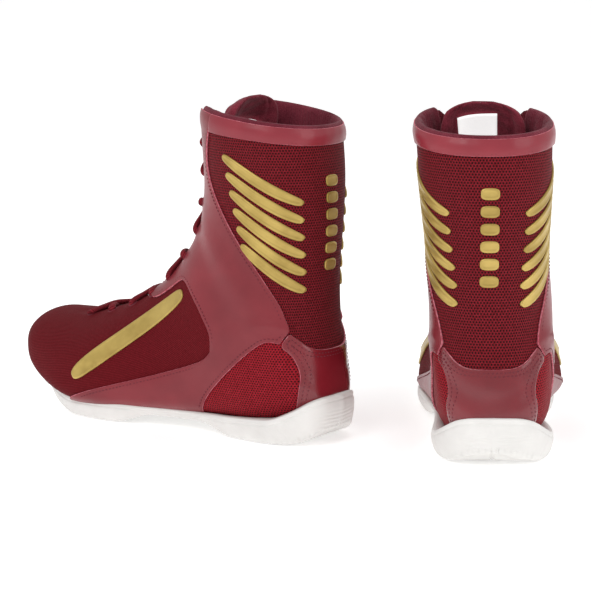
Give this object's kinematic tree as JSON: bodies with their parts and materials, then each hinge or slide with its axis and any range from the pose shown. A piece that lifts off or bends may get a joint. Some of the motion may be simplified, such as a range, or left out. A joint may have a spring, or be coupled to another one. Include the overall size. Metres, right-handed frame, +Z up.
{
  "type": "boxing boots",
  "caption": "Pair of high lace-up boxing boots with mesh shafts, padded collars, laced throats and moulded rubber soles; each shaft flexes at the ankle.",
  "frame": {"origin": "centre of the pair's bounding box, on the floor that both outsoles stand on", "axes": "+Z up; +X and +Y along the floor, with the right boot's toe pointing near +Y and the left boot's toe towards -X"},
  "size_m": [0.4093, 0.2824, 0.2443],
  "materials": {
    "sole_rubber": "matt white rubber with sculpted grooves",
    "sewn_board": "stiff non-woven board, stitched round its edge",
    "lining_textile": "brushed dark burgundy lining",
    "forefoot_textile": "dark burgundy fabric with fine ribs",
    "stiffener_sheet": "thermoformed sheet, hidden between the layers",
    "gloss_leather": "patent-like gloss",
    "heel_knit": "bright red fine knit",
    "maroon_leather": "semi-gloss synthetic leather with pale raw edges",
    "honeycomb_mesh": "deep red spacer mesh with round holes",
    "collar_fleece": "ribbed burgundy roll",
    "tongue_textile": "padded and wrinkled burgundy fabric",
    "white_label": "blank woven label",
    "lace_cord": "round braided lace",
    "gold_print": "raised satin gold transfer"
  },
  "bodies": {
    "left_foot": {"left_outsole": "sole_rubber", "left_insole_board": "sewn_board", "left_sock_liner": "lining_textile", "left_vamp": "forefoot_textile", "left_vamp_lining_lateral": "lining_textile", "left_vamp_lining_medial": "lining_textile", "left_toe_puff": "stiffener_sheet", "left_heel_stiffener": "stiffener_sheet", "left_heel_counter": "gloss_leather", "left_heel_mesh_lateral": "heel_knit", "left_heel_mesh_medial": "heel_knit", "left_forefoot_flash_lateral": "gold_print", "left_forefoot_flash_medial": "gold_print", "left_quarter_lateral": "maroon_leather", "left_quarter_medial": "maroon_leather", "left_ankle_lining": "lining_textile"},
    "left_shaft": {"left_shaft_lining": "lining_textile", "left_shaft_mesh": "honeycomb_mesh", "left_collar_roll": "collar_fleece", "left_collar_band": "maroon_leather", "left_tongue": "tongue_textile", "left_size_label": "white_label", "left_lace": "lace_cord", "left_back_badge": "gold_print"},
    "right_foot": {"right_outsole": "sole_rubber", "right_insole_board": "sewn_board", "right_sock_liner": "lining_textile", "right_vamp": "forefoot_textile", "right_vamp_lining_lateral": "lining_textile", "right_vamp_lining_medial": "lining_textile", "right_toe_puff": "stiffener_sheet", "right_heel_stiffener": "stiffener_sheet", "right_heel_counter": "gloss_leather", "right_heel_mesh_lateral": "heel_knit", "right_heel_mesh_medial": "heel_knit", "right_forefoot_flash_lateral": "gold_print", "right_forefoot_flash_medial": "gold_print", "right_quarter_lateral": "maroon_leather", "right_quarter_medial": "maroon_leather", "right_ankle_lining": "lining_textile"},
    "right_shaft": {"right_shaft_lining": "lining_textile", "right_shaft_mesh": "honeycomb_mesh", "right_collar_roll": "collar_fleece", "right_collar_band": "maroon_leather", "right_tongue": "tongue_textile", "right_size_label": "white_label", "right_lace": "lace_cord", "right_back_badge": "gold_print"}
  },
  "joints": [
    {"name": "left_ankle_flex", "type": "hinge", "parent": "left_foot", "child": "left_shaft", "pos_m": [0.00451, -0.03341, 0.084], "axis": [-0.5807, -0.8141, 0], "range_deg": [-8, 15], "deforming": ["left_quarter_lateral", "left_quarter_medial", "left_ankle_lining", "left_tongue", "left_lace"]},
    {"name": "right_ankle_flex", "type": "hinge", "parent": "right_foot", "child": "right_shaft", "pos_m": [0.13353, -0.09984, 0.084], "axis": [-0.999, 0.0436, 0], "range_deg": [-8, 15], "deforming": ["right_quarter_lateral", "right_quarter_medial", "right_ankle_lining", "right_tongue", "right_lace"]},
    {"name": "right_boot_lift", "type": "slide", "parent": "left_foot", "child": "right_foot", "axis": [0, 0, 1], "range_m": [0, 0.26]}
  ]
}
